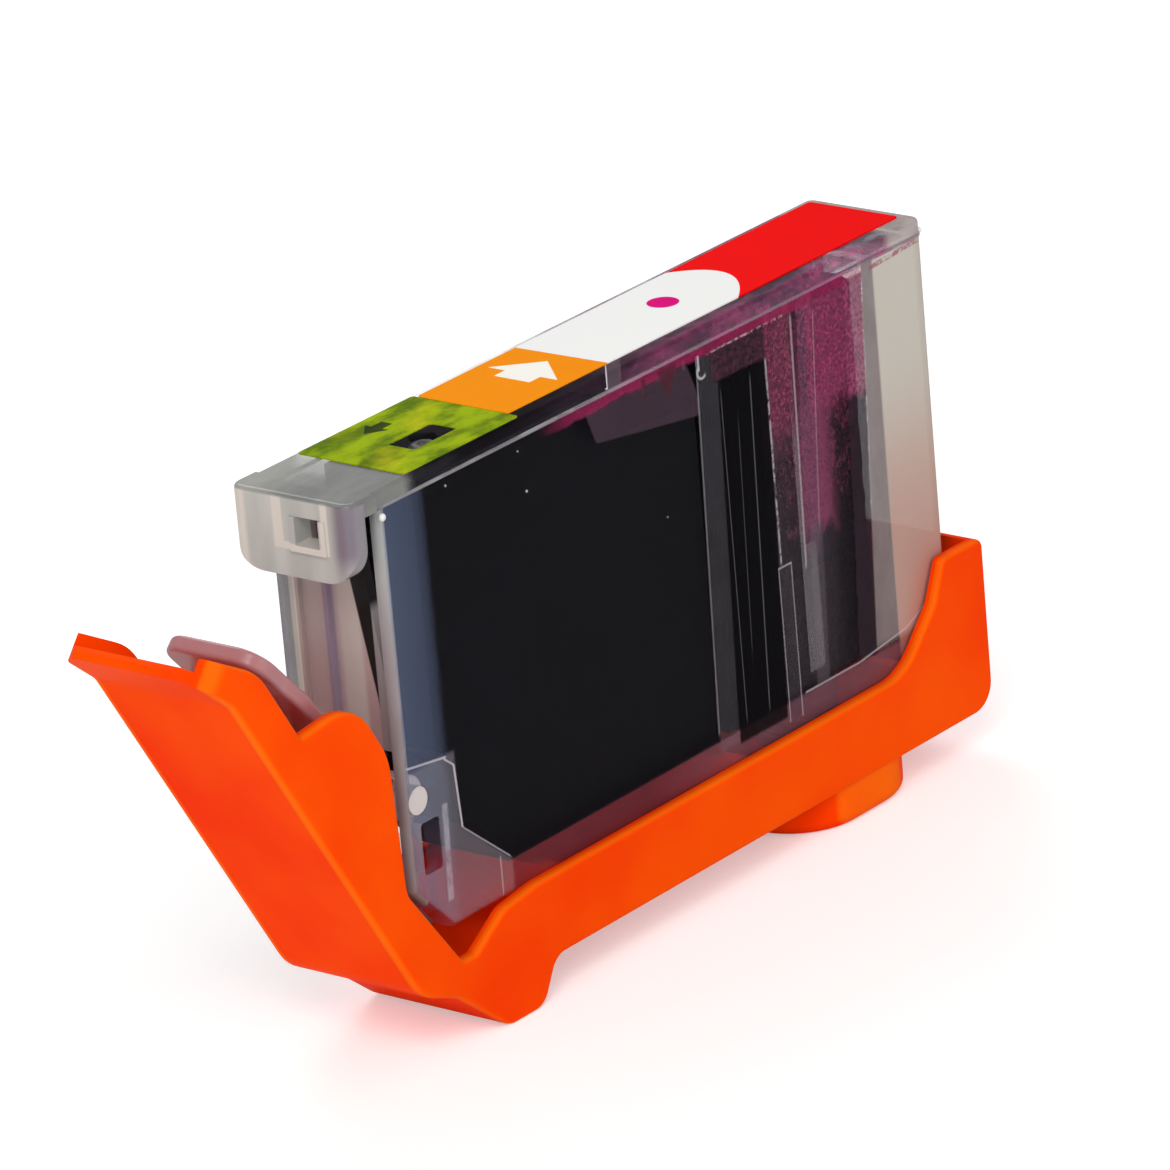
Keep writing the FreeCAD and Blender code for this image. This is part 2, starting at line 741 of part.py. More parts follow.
def build_cap():
    under = cap_underside()
    first = under[0]
    last = under[-1]
    sides = [(first[0], first[1], edge_round)] + under[1:-1] + [(last[0], last[1], corner_tight)] + cap_rim()
    shell = slab(sides, -cap_half, cap_half)
    rim_edges = [edge for edge in shell.Edges if edge.BoundBox.YLength < cap_half]
    shell = shell.makeFillet(edge_round, rim_edges).cut(lip_corners())

    # Cup under the outlet
    cup_end = cup_start + cup_length
    cup = plate(rectangle(cup_start, cup_end, -cup_width / 2, cup_width / 2, cup_corner), 0.0, trough_floor)
    cup_edges = [edge for edge in cup.Edges if edge.BoundBox.ZMax < trough_floor / 2]
    shell = shell.fuse(cup.makeFillet(cup_edge_round, cup_edges))

    # Inside of the trough and arm, open upwards and at the arm's end
    inner = moved_chain(under, cap_wall)
    lean = math.radians(lip_angle)
    run = 2 * lip_length
    start = (inner[0][0] - run * math.cos(lean), inner[0][1] + run * math.sin(lean), 0.0)
    room = [start] + inner[1:-1] + [(inner[-1][0], open_top, 0.0), (start[0], open_top, 0.0)]
    shell = shell.cut(slab(room, -cap_inner, cap_inner))
    hollow_half = cup_width / 2 - cap_wall
    hollow = rectangle(cup_start + cap_wall, cup_end - cap_wall, -hollow_half, hollow_half,
                       cup_corner - cap_wall)
    shell = shell.cut(plate(hollow, cap_wall, trough_floor + join))

    # Boss for the seal, ledges for the tank and ribs behind it
    adds = [Part.makeCylinder(boss_radius, pad_seat - cap_wall + join, Vector(outlet_x, 0, cap_wall - join))]
    ledge_places = (front_lobe_x + front_lobe_length + ledge_front_gap,
                    cup_start - ledge_cup_gap - ledge_wall, tank_length - ledge_rear_gap)
    for ledge_x in ledge_places:
        adds.append(block(ledge_x, ledge_x + ledge_wall, -cap_inner - join, cap_inner + join,
                          trough_floor - join, tank_bottom - seat_gap))
    for side in (-1, 1):
        low = side * rear_rib_spread / 2 - rear_rib_width / 2
        adds.append(block(tank_length + seat_gap, cap_rear - cap_wall + join, low, low + rear_rib_width,
                          trough_floor - join, lobe_depth + upstand_height - rear_rib_drop))
    return shell.fuse(adds).removeSplitter()


# Soft sealing disc under the outlet, with a raised ring that meets the collar's end.
def build_seal():
    body = pad_disc_thickness - pad_ring_height
    disc = Part.makeCylinder(pad_disc_radius, body, Vector(outlet_x, 0, pad_seat))
    spot = Vector(outlet_x, 0, pad_seat + body)
    ring = Part.makeCylinder(outlet_bore + pad_ring_width, pad_ring_height, spot)
    ring = ring.cut(Part.makeCylinder(outlet_bore, pad_ring_height, spot))
    return disc.fuse(ring).removeSplitter()


pieces = {
    "shipping_cap": build_cap,
    "outlet_seal": build_seal,
    "tank_body": build_tank_body,
    "top_lid": build_lid,
    "latch_lever": build_lever,
    "ink": build_ink,
    "capillary_sponge": build_sponge,
    "outlet_felt": build_felt,
    "outlet_wick": build_wick,
    "outlet_mesh": build_mesh,
    "chip_board": build_board,
    "chip_contacts": build_contacts,
    "chip_cover": build_blob,
    "chip_led": build_led,
    "vent_film": build_film,
    "label": build_label,
    "fill_plug": build_fill_plug,
    "vent_membrane": build_membrane,
}

os.makedirs("parts", exist_ok=True)
shapes = {name: make() for name, make in pieces.items()}
overall = shapes["shipping_cap"].BoundBox
centre_x = (overall.XMin + overall.XMax) / 2
for name, shape in shapes.items():
    shape.translate(Vector(-centre_x, 0, 0))
    shape.exportStep("parts/" + name + ".step")
    print(name, "volume", round(shape.Volume, 1), "solids", len(shape.Solids), "valid", shape.isValid())
print("front face at X", round(-centre_x, 3), "pivot", round(pivot_x - centre_x, 3), round(pivot_z, 3))
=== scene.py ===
import bpy
import bmesh
import math
from mathutils import Matrix, Vector, noise


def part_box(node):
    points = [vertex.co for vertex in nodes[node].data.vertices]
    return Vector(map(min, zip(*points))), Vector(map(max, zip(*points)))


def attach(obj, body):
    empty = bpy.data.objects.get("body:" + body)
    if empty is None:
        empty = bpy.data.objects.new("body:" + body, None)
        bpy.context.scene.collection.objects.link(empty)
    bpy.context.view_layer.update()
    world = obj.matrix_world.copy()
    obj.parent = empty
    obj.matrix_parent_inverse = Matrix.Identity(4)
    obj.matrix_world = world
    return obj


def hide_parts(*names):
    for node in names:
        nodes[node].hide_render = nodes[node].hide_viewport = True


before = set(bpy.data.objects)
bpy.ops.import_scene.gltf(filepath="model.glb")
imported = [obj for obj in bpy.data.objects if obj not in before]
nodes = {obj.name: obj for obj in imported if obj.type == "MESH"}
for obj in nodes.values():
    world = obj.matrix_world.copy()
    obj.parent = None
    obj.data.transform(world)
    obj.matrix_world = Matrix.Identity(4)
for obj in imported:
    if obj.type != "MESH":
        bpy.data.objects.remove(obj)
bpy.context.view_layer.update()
print("frame loaded:", len(nodes), "nodes")

# The tank and its two absorbers, in metres, read from the frame
tankLow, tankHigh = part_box("tank_body")
spongeLow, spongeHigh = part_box("capillary_sponge")
feltLow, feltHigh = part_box("outlet_felt")
frontX = tankLow[0]     # the tank's front face
jointZ = tankHigh[2]     # the top of its walls, where the lid is welded on
mm = 0.001


def atTank(along, across, height):     # a spot in mm from the tank's front face, its middle and the ground
    return Vector((frontX + along * mm, across * mm, height * mm))


# Camera, at the photograph's angle
cameraSettings = {
    "place": (-0.536562, -0.45137, 0.29513),
    "aim": (0.009533, 0.003064, 0.02791),
    "rollDegrees": -5.036,
    "focalPixels": 8999.9,
    "framePixels": 1170,
    "sensor": 36.0,
    "near": 0.01,
}


def turnTo(place, aim):     # the placement of something that stands at a place and looks at its aim
    look = (Vector(aim) - Vector(place)).to_track_quat("-Z", "Y").to_matrix().to_4x4()
    return Matrix.Translation(Vector(place)) @ look


def makeCamera():
    s = cameraSettings
    data = bpy.data.cameras.new("photoCamera")
    data.sensor_width = s["sensor"]
    data.lens = s["focalPixels"] / s["framePixels"] * s["sensor"]
    data.clip_start = s["near"]
    camera = bpy.data.objects.new("photoCamera", data)
    bpy.context.scene.collection.objects.link(camera)
    roll = Matrix.Rotation(math.radians(s["rollDegrees"]), 4, "Z")
    camera.matrix_world = turnTo(s["place"], s["aim"]) @ roll
    bpy.context.scene.camera = camera


makeCamera()
print("camera set")


def tint(screen):     # a screen colour, 0 to 255, as the linear colour that a socket takes
    linear = [((v / 255 + 0.055) / 1.055) ** 2.4 if v > 10 else v / 255 / 12.92 for v in screen]
    return (linear[0], linear[1], linear[2], 1.0)


class Wire:     # a socket that can be added, scaled and compared
    def __init__(self, shading, socket):
        self.shading = shading
        self.socket = socket

    def maths(self, operation, *values):
        return self.shading.node("ShaderNodeMath", {"operation": operation}, dict(enumerate(values)))

    def __add__(self, other):
        return self.maths("ADD", self, other)

    __radd__ = __add__

    def __sub__(self, other):
        return self.maths("SUBTRACT", self, other)

    def __rsub__(self, other):
        return self.maths("SUBTRACT", other, self)

    def __mul__(self, other):
        return self.maths("MULTIPLY", self, other)

    __rmul__ = __mul__

    def __truediv__(self, other):
        return self.maths("DIVIDE", self, other)

    def __pow__(self, other):
        return self.maths("POWER", self, other)

    def __abs__(self):
        return self.maths("ABSOLUTE", self)

    def least(self, other):
        return self.maths("MINIMUM", self, other)

    def most(self, other):
        return self.maths("MAXIMUM", self, other)

    def rise(self, low, high):     # 0 below low, 1 above high, with a soft edge between
        return self.shading.node("ShaderNodeMapRange", {"interpolation_type": "SMOOTHSTEP"},
                                 {"Value": self, "From Min": low, "From Max": high}, "Result")

    def band(self, low, high, soft):     # 1 between low and high
        return self.rise(low - soft, low + soft) * (1 - self.rise(high - soft, high + soft))

    def past(self, line, soft):     # 1 above one line
        return self.rise(line - soft, line + soft)


class Shading:     # the nodes of a material or of the world
    def __init__(self, tree):
        self.tree = tree
        tree.nodes.clear()

    def node(self, kind, settings=None, sockets=None, out=0):
        made = self.tree.nodes.new(kind)
        for key, value in (settings or {}).items():
            setattr(made, key, value)
        for key, value in (sockets or {}).items():
            if isinstance(value, Wire):
                self.tree.links.new(value.socket, made.inputs[key])
            else:
                made.inputs[key].default_value = value
        return Wire(self, made.outputs[out])

    def close(self, kind, shader):     # ends the tree on its output
        end = self.tree.nodes.new(kind)
        self.tree.links.new(shader.socket, end.inputs["Surface"])

    def seenDirectly(self):     # 1 for rays that come straight from the camera
        return self.node("ShaderNodeLightPath", out="Is Camera Ray")


class Finish(Shading):     # one material, with places on it in mm and the patterns that it draws on
    def __init__(self, name):
        self.material = bpy.data.materials.new(name)
        self.material.use_nodes = True
        super().__init__(self.material.node_tree)
        self.place = self.node("ShaderNodeTexCoord", out="Object")
        split = self.node("ShaderNodeSeparateXYZ", {}, {0: self.place})
        axes = split.socket.node.outputs
        self.along = (Wire(self, axes[0]) - frontX) / mm     # from the tank's front face
        self.across = Wire(self, axes[1]) / mm     # from its middle
        self.height = Wire(self, axes[2]) / mm     # from the ground

    def mix(self, amount, one, other):     # each colour is a wire, or a screen colour
        one, other = (c if isinstance(c, Wire) else tint(c) for c in (one, other))
        return self.node("ShaderNodeMix", {"data_type": "RGBA"}, {0: amount, 6: one, 7: other}, 2)

    def stretch(self, scale):     # the place, stretched along each axis
        return self.node("ShaderNodeMapping", {"vector_type": "POINT"},
                         {"Vector": self.place, "Scale": scale})

    def cloud(self, size, detail, roughness=0.5, place=None):     # noise with lumps of a size in mm
        return self.node("ShaderNodeTexNoise", {},
                         {"Vector": place or self.place, "Scale": 1 / (size * mm), "Detail": detail,
                          "Roughness": roughness}, "Fac")

    def cells(self, size):
        return self.node("ShaderNodeTexVoronoi", {},
                         {"Vector": self.place, "Scale": 1 / (size * mm)}, "Distance")

    def facing(self):     # 0 face on, 1 edge on
        return self.node("ShaderNodeLayerWeight", {}, {"Blend": 0.5}, "Facing")

    def bump(self, height, strength, depth):     # depth in mm
        return self.node("ShaderNodeBump", {},
                         {"Height": height, "Strength": strength, "Distance": depth * mm})

    def surface(self, **sockets):
        named = {key.replace("_", " "): value for key, value in sockets.items()}
        self.close("ShaderNodeOutputMaterial", self.node("ShaderNodeBsdfPrincipled", {}, named))
        return self.material


def apart(one, other):     # the distance that two offsets at right angles make
    return (one ** 2 + other ** 2) ** 0.5


# Finishes

capSettings = {
    "plastic": ((248, 50, 0), (255, 76, 0)),
    "rim": (255, 122, 18),     # painted highlight: the rounded edges catch more light
    "rimPlace": (6.7, 7.34, 0.15),
    "sheen": 0.012,
}


def orangeCap():
    s = capSettings
    f = Finish("orangeCapPlastic")
    drift = f.cloud(14, 2.0)
    grain = f.cloud(0.35, 3.0)
    ripple = f.cloud(6, 2.0)
    colour = f.mix(drift.rise(0.25, 0.75), *s["plastic"])
    # painted highlight along the cap's rounded edges
    rim = abs(f.across).band(*s["rimPlace"])
    colour = f.mix(rim * (0.35 + 0.4 * drift), colour, s["rim"])
    return f.surface(Base_Color=colour, Roughness=0.36 + 0.1 * f.cloud(3, 4.0), IOR=1.45,
                     Specular_IOR_Level=s["sheen"], Normal=f.bump(grain * 0.3 + ripple, 0.25, 0.12))


# The tank's plastic is clear, and what stands behind its walls is painted on them by place, in coats, with
# painted highlights and painted shade among them.
# A place of three numbers is a band: its two sides and how soft they are. One of two numbers is a soft edge:
# where it starts and where it ends.
tankSettings = {
    "skin": (5.85, 5.95),     # from the middle: the outer faces lie past it
    "lean": 0.03,     # how far back the partition leans with its height, and from which height
    "leanFrom": 30,
    "tilt": 0.05,     # the same for the rear wall of the foam's chamber
    "tiltFrom": 47,
    "bare": (176, 174, 186),
    "bareCover": 0.0015,
    "mostCover": 0.97,
    "sheen": 0.01,
    "gloss": 0.12,
}


class TankPaint(Finish):
    def __init__(self):
        s = tankSettings
        super().__init__("tankPlastic")
        self.side = abs(self.across)
        self.outer = self.side.rise(*s["skin"])
        self.inner = 1 - self.outer
        self.smear = self.cloud(2.2, 6.0, 0.62, self.stretch((1.0, 1.0, 0.55)))
        self.fleck = self.cloud(0.7, 5.0, 0.65)
        self.grit = self.cloud(0.32, 3.0, 0.6)
        self.lean = self.along - s["lean"] * (self.height - s["leanFrom"])
        self.tilt = self.along + s["tilt"] * (s["tiltFrom"] - self.height)
        self.colour = s["bare"]
        self.cover = s["bareCover"] + s["bareCover"] * self.cloud(5, 3.0)

    def lay(self, mask, colour, amount):     # one more coat, and how much of the view it takes up
        coat = mask * amount
        total = coat + self.cover * (1 - coat)
        self.colour = self.mix(coat / total, self.colour, colour)
        self.cover = total

    def gritty(self, pair, high=0.7):     # two colours in fine grains
        return self.mix(self.grit.rise(0.3, high), *pair)

    def area(self, s, along=None):     # the part of the outer walls that the settings name
        sides = [axis.band(*place) if len(place) == 3 else axis.rise(*place)
                 for axis, place in ((along or self.along, s["along"]), (self.height, s["height"]))]
        return sides[0] * sides[1] * self.outer


frontSettings = {
    "hollowEnd": (4.6, 6.0),
    "hollowInside": (142, 158, 196),
    "hollowOutside": (138, 154, 192),
    "plateRear": (1.65, 1.8),
    "plate": ((184, 150, 150), (188, 172, 168)),     # low down, and high up
    "farSide": (198, 194, 178),
    "farSidePlace": (3.6, 4.2),
    # painted shade on the first rib band, painted highlights on the other two
    "ribs": [((0.25, 0.95, 0.15), (156, 136, 156)), ((-2.4, -0.2, 0.3), (204, 192, 186)),
             ((3.85, 4.1, 0.08), (220, 217, 208))],
    # painted shade: a dark strip along the far edge
    "farEdgeShade": (112, 108, 120),
    "farEdgeShadePlace": (4.75, 5.1),
    "nearWall": ((152, 142, 144), (166, 169, 168)),
    "nearWallPlace": (-3.7, -3.5),
    "wedge": (12, 11, 15),     # painted shade: the narrow gap beside the near wall, near black
    "wedgeTop": 41.1,
    "wedgeSide": -1.8,
    "wedgeSlope": 0.18,
    "wedgeFoot": (-3.75, -3.6),
}


def paintFront(t):     # the hollow front end, and the plane of its face plate
    s = frontSettings
    u, y, w = t.along, t.across, t.height
    hollow = 1 - u.rise(*s["hollowEnd"])
    t.lay(hollow * t.inner, s["hollowInside"], 0.05)
    t.lay(hollow * t.outer, s["hollowOutside"], 0.15 + 0.06 * (1 - u.rise(0.5, 4.0)))
    plate = (1 - u.rise(*s["plateRear"])) * t.inner
    face = t.mix(y.rise(*s["farSidePlace"]), t.mix((w - 30).rise(-6, 12), *s["plate"]), s["farSide"])
    # painted shade and painted highlights on the ribs, then painted shade along the far edge
    for place, colour in s["ribs"]:
        face = t.mix(y.band(*place), face, colour)
    face = t.mix(y.rise(*s["farEdgeShadePlace"]), face, s["farEdgeShade"])
    face = t.mix(1 - y.rise(*s["nearWallPlace"]), face, t.mix(w.rise(34, 46), *s["nearWall"]))
    t.lay(plate, face, 0.8 + 0.12 * t.smear)
    # painted shade in the gap beside the near wall
    wedge = (s["wedgeSide"] - y - s["wedgeSlope"] * (s["wedgeTop"] - w)).rise(-0.08, 0.12)
    t.lay(plate * (wedge * y.rise(*s["wedgeFoot"])), s["wedge"], 0.97)


baySettings = {
    "bay": (168, 164, 176),
    "bayRear": (6.2, 6.7),
    "bayTop": (25.0, 25.5),
    "slope": 0.825,
    "slopeStart": 6.7,
    "slopeEdge": (18.0, 18.6),
    "slopeFoot": (12.4, 12.8),
    "slopeTop": (18.2, 18.5),
    "pink": (150, 80, 92),
    "pinkSlope": 1.05,
    "pinkEdge": (20.4, 20.9),
    "floor": ((112, 58, 70), (140, 92, 104)),
    "floorTop": (13.2, 13.6),
    "floorFront": (12.0, 13.0),
}


def paintBay(t):     # the latch bay, the sloping wall behind it and the floor under the chambers
    s = baySettings
    u, w = t.along, t.height
    bay = (1 - u.rise(*s["bayRear"])) * (1 - w.rise(*s["bayTop"]))
    slope = 1 - (w + s["slope"] * (u - s["slopeStart"])).rise(*s["slopeEdge"])
    slope = slope * (1 - u.rise(*s["slopeFoot"])) * (1 - w.rise(*s["slopeTop"]))
    t.lay(bay.most(slope) * t.outer, s["bay"], 0.17 + 0.1 * t.smear)
    t.lay((1 - (w + s["pinkSlope"] * u).rise(*s["pinkEdge"])) * t.outer, s["pink"], 0.26)
    floor = (1 - w.rise(*s["floorTop"])) * u.rise(*s["floorFront"]) * t.outer
    t.lay(floor, t.mix(u.rise(30, 44), *s["floor"]), 0.36 + 0.2 * t.smear)


grooveSettings = {
    "pillar": {"along": (41.5, 44.2, 0.12), "height": (12.4, 47.5, 0.2), "colour": (166, 162, 172)},
    "slot": {"along": (44.3, 51.0, 0.12), "height": (12.2, 44.6, 0.2), "colour": (12, 11, 14),
             "cover": 0.93},
    "border": {"along": (43.4, 50.7, 0.25), "height": (44.7, 47.4, 0.15),
               "colours": ((28, 20, 28), (84, 44, 62)), "cover": 0.86},
}


def paintGroove(t):     # the partition, then the dark slot of the groove chamber and the border over it
    pillar, slot, border = (grooveSettings[name] for name in ("pillar", "slot", "border"))
    t.lay(t.area(pillar, t.lean), pillar["colour"], 0.05 + 0.05 * t.cloud(3, 1.5))
    t.lay(t.area(slot, t.lean), slot["colour"], slot["cover"])
    t.lay(t.area(border, t.lean), t.gritty(border["colours"], 0.75), border["cover"])


foamSideSettings = {
    "wine": {"along": (51.3, 55.0, 0.2), "height": (36, 39), "colours": ((78, 26, 46), (138, 64, 92)),
             "cover": 0.66},
    "mist": {"along": (54.9, 56.9, 0.2), "height": (24, 27), "colours": ((72, 54, 74), (132, 76, 104)),
             "cover": 0.4},
    "mottle": {"along": (51.4, 64.6, 0.3), "height": (26, 34), "light": (166, 60, 104),
               "dark": (52, 22, 42)},
    # magenta stain, painted brighter where the label shades the foam's top: partly painted light
    "litStain": {"along": (56.9, 63.3, 0.5), "foot": (38.2, 41.2), "top": (47.3, 47.8),
              "colours": ((112, 40, 70), (160, 66, 108)), "cover": 0.62},
}


def paintFoamSide(t):     # the stained, foamy part behind the slot, with painted light over the foam's top
    wine, mist, mottle, litStain = (foamSideSettings[name] for name in ("wine", "mist", "mottle", "litStain"))
    u, w = t.along, t.height
    t.lay(t.area(wine), t.gritty(wine["colours"]), wine["cover"])
    misty = t.area(mist, u - 0.05 * (w - 27))
    t.lay(misty, t.gritty(mist["colours"]), mist["cover"] + 0.25 * w.rise(30, 44))
    mottled = t.area(mottle)
    t.lay(mottled * t.grit.rise(0.5, 0.72), mottle["light"], 0.34)
    t.lay(mottled * (1 - t.grit).rise(0.52, 0.72), mottle["dark"], 0.28)
    # the stain over the foam's top, painted bright against the label's shadow: painted light
    litStainMask = u.band(*litStain["along"]) * (w + 3 * t.smear).rise(*litStain["foot"]) * (1 - w.rise(*litStain["top"]))
    t.lay(litStainMask * t.outer, t.gritty(litStain["colours"]), litStain["cover"])


airSettings = {
    "foot": 44.6,     # the ink's level at the pocket's front end, from where it falls towards the rear
    "footStart": 28.4,
    "footSlope": 0.15,
    "along": (27.9, 41.6, 0.15),
    "top": (47.2, 48.2),
    "pocket": ((66, 50, 62), (84, 64, 78)),
    "streakFront": (20.0, 27.0),
    "streakRear": (65.0, 66.0),
    "streakFoot": (47.7, 48.1),
    "streak": ((92, 30, 62), (176, 34, 92)),
    "drips": [(38.0, 45.3, 2.1), (34.8, 45.7, 9)],     # where each hangs, its tip's height and its slope
    "drip": (74, 28, 40),
}


def paintPocket(t):     # the air pocket over the ink, the damp streaks along the weld and the drips under it
    s = airSettings
    u, w = t.along, t.height
    foot = s["foot"] - s["footSlope"] * (u - s["footStart"])
    pocket = (w - foot).rise(-0.12, 0.12) * (u + 0.4 * (w - 45).most(-1.0)).band(*s["along"])
    t.lay(pocket * (1 - w.rise(*s["top"])) * t.outer, t.mix(t.smear, *s["pocket"]), 0.6)
    ragged = (w + 1.1 * t.smear - 0.25 * t.fleck).rise(*s["streakFoot"])
    streak = u.rise(*s["streakFront"]) * (1 - u.rise(*s["streakRear"])) * ragged * t.outer
    t.lay(streak, t.mix(t.fleck, *s["streak"]), 0.72)
    one, other = (w - tip - steep * abs(u - along) for along, tip, steep in s["drips"])
    drip = one.most(other).rise(-0.1, 0.15) * w.rise(45.2, 45.4)
    t.lay(drip * (1 - w.rise(48.0, 48.3)) * t.outer, s["drip"], 0.8)


rearSettings = {
    "bareFront": (66.7, 67.1),
    "wall": (62.7, 65.3, 0.12),
    "wallHeight": (13.6, 47.8, 0.2),
    "stain": ((96, 34, 60), (150, 70, 106)),
    "soaked": ((16, 12, 18), (52, 34, 46)),
    "soakedTop": 37.6,
    "chamberFront": (65.1, 65.4),
    "foot": (13.2, 14.5),
    "damp": ((104, 92, 92), (142, 130, 130)),
    "bare": (190, 183, 172),
    "corner": (184, 177, 168),
    "blush": (192, 84, 60),     # painted orange light where the orange cap shines through
    # painted warm glow from the orange cap, fading upwards
    "glow": (178, 116, 104),
    "thread": (140, 26, 84),
}


def paintRear(t):     # the rear wall of the foam's chamber, and the empty chamber behind it
    s = rearSettings
    u, v, w = t.along, t.side, t.height
    bare = u.rise(*s["bareFront"])
    soaked = (s["soakedTop"] - w + 3.4 * (t.smear - 0.5)).rise(-0.6, 0.6)
    stain = t.mix(soaked, t.gritty(s["stain"]), t.mix(t.fleck, *s["soaked"]))
    wall = (t.tilt + 0.7 * (t.fleck - 0.5)).band(*s["wall"]) * w.band(*s["wallHeight"])
    t.lay(wall * t.outer, stain, 0.93)
    chamber = t.tilt.rise(*s["chamberFront"]) * w.rise(*s["foot"]) * t.outer
    t.lay(chamber, t.mix(bare, t.mix(t.smear, *s["damp"]), s["bare"]), 0.95)
    t.lay(u.rise(73.9, 74.1) * v.rise(4.9, 5.1) * t.inner * w.rise(*s["foot"]), s["corner"], 0.85)
    # painted orange light from the cap low on the rear chamber, then a painted warm glow fading upwards
    t.lay(u.rise(67, 72) * (1 - w.rise(15, 25)) * t.outer, s["blush"], 0.6)
    t.lay((1 - w.rise(22, 40)) * bare * t.outer, s["glow"], 0.6)
    thread = (w - 47.75 - 0.05 * (u - 66)).band(-0.22, 0.22, 0.08) * u.rise(66, 67)
    t.lay(thread * t.fleck.rise(0.35, 0.55) * t.outer, s["thread"], 0.75)


edgeSettings = {
    # painted highlight on the edges
    "highlight": (206, 198, 206),
    # painted shade on the post
    "postShade": (66, 62, 68),
    "mist": (118, 108, 116),
    "pin": (176, 170, 176),
}


def lightEdges(t):     # painted highlights where edges catch the light, with how much each covers, then three soft strips
    s = edgeSettings
    u, w, lean = t.along, t.height, t.lean
    torn = t.fleck.rise(0.35, 0.55)
    crest = 13.5 + 0.11 * (u - 61).most(0.0) + 0.28 * (u - 67.8).most(0.0)     # the floor's top
    slope = w - 18.4 + baySettings["slope"] * (u - baySettings["slopeStart"])
    posts = u.band(50.75, 50.9, 0.05).most(u.band(52.5, 52.65, 0.05))
    grooves = u.band(44.85, 44.95, 0.06).most(lean.band(48.5, 48.65, 0.06))
    edges = {
        "partition": (lean.band(41.35, 41.55, 0.06) * w.band(14, 47.6, 0.3), 0.22),
        "slotRear": (u.band(51.1, 51.35, 0.07) * w.band(26, 44.5, 0.3) * torn, 0.5),
        "foamFront": ((u - 0.02 * (w - 25)).band(54.5, 54.75, 0.07) * w.band(24.5, 47.2, 0.3), 0.34),
        "foamRib": ((u - 0.07 * (w - 27)).band(56.75, 56.9, 0.07) * w.band(27.5, 46.5, 0.3), 0.2),
        "postSides": (posts * w.band(11.6, 25.7, 0.1), 0.34),
        "postTop": (w.band(25.55, 25.75, 0.05) * u.band(50.8, 52.6, 0.05), 0.4),
        "grooveSides": (grooves * w.band(14, 43.6, 0.8), 0.13),
        "grooveMiddle": (lean.band(46.6, 46.7, 0.06) * w.band(20, 40, 2.0), 0.09),
        "borderTop": (w.band(47.4, 47.6, 0.06) * u.band(43.4, 54.0, 0.1) * t.fleck.rise(0.45, 0.6), 0.5),
        "hook": (((u - 42.6) ** 2 + (w - 46.2) ** 2).band(0.22, 0.5, 0.1)
                 * (w + u).band(86.0, 88.9, 0.3), 0.6),
        "hookStem": (u.band(42.1, 42.35, 0.06) * w.band(46.3, 47.7, 0.1), 0.6),
        "tankRear": (u.band(74.0, 74.2, 0.05) * w.rise(13, 14), 0.6),
        "tankFront": (u.band(0.2, 0.45, 0.08) * w.band(27, 48.4, 0.3), 0.5),
        "bayTop": ((w - 25.6 + 0.14 * (u - 1.6)).band(-0.1, 0.1, 0.06) * u.band(0.3, 5.4, 0.2), 0.6),
        "bayCorner": ((w + 0.8 * (u - 5.1) - 25.0).band(-0.1, 0.12, 0.07) * u.band(5.1, 6.3, 0.05), 0.6),
        "bayRear": ((u - 6.3 - 0.07 * (24 - w)).band(-0.13, 0.1, 0.06) * w.band(18.4, 24.1, 0.1), 0.7),
        "baySlope": (slope.band(-0.1, 0.08, 0.06) * u.band(6.7, 12.4, 0.1), 0.4),
        "bayRib": ((u - 4.1 - 0.03 * (w - 13)).band(0.0, 0.7, 0.15) * w.band(12.8, 21.2, 0.2)
                   * t.smear.rise(0.25, 0.55), 0.42),
        "bayFoot": (u.band(11.0, 11.15, 0.05) * w.band(10, 14.2, 0.2), 0.4),
        "floorCrest": ((w - crest).band(-0.1, 0.1, 0.06) * u.band(53.2, 71.2, 0.2), 0.4),
    }
    for mask, amount in edges.values():
        t.lay(mask * t.outer, s["highlight"], amount)
    # painted shade on the post
    t.lay(u.band(50.95, 52.45, 0.05) * w.band(12, 25.5, 0.1) * t.outer, s["postShade"], 0.3)
    mist = (u - 0.04 * (w - 13)).band(54.9, 56.7, 0.1) * w.band(13.2, 28.0, 0.3)
    t.lay(mist * t.outer, s["mist"], 0.22)
    t.lay(t.side.band(4.45, 4.6, 0.02) * u.band(55.9, 58.2, 0.05), s["pin"], 0.25)


def clearTank():
    s = tankSettings
    t = TankPaint()
    for paint in (paintFront, paintBay, paintGroove, paintFoamSide, paintPocket, paintRear, lightEdges):
        paint(t)
    haze = (t.cover + 0.3 * t.facing() ** 6).least(s["mostCover"])
    glossy = 1 - t.area(grooveSettings["slot"], t.lean)     # the slot has no coat, so it stays dark
    return t.surface(Base_Color=t.colour, Roughness=0.2, IOR=1.45, Specular_IOR_Level=s["sheen"], Alpha=haze,
                     Coat_Weight=s["gloss"] * glossy, Coat_Roughness=0.1,
                     Normal=t.bump(t.cloud(4, 3.0), 0.15, 0.1))


lidSettings = {
    "top": (49.6, 49.9),
    "hoodRear": (-2.4, -1.6),
    "frontRear": (3.2, 5.2),
    "clear": (70, 64, 84),
    "wine": ((104, 42, 80), (172, 66, 122)),     # ink stains seen through the lid
    "rear": (176, 164, 160),
    # painted shade: the lid over the hollow front end, darker towards the near side
    "front": ((100, 103, 106), (160, 160, 152)),
    "hood": ((176, 177, 172), (194, 194, 189)),
    # painted shade on the hood's near side
    "dusk": (122, 114, 126),
    # painted highlight on the hood's edges
    "rim": (212, 207, 198),
    "mostCover": 0.97,
}


def hoodRimHighlights(v, w):     # painted highlights along the outline of the hood's window, and along the hood's far edge
    farSide = v.band(0.9, 1.9, 0.1) * w.rise(45.4, 45.5)
    foot = v.band(-3.9, 1.9, 0.1) * w.band(45.35, 46.0, 0.08)
    nearSide = v.band(-3.9, -3.2, 0.1) * w.rise(45.4, 45.5)
    return farSide.most(foot).most(nearSide).most(v.rise(4.5, 5.1))


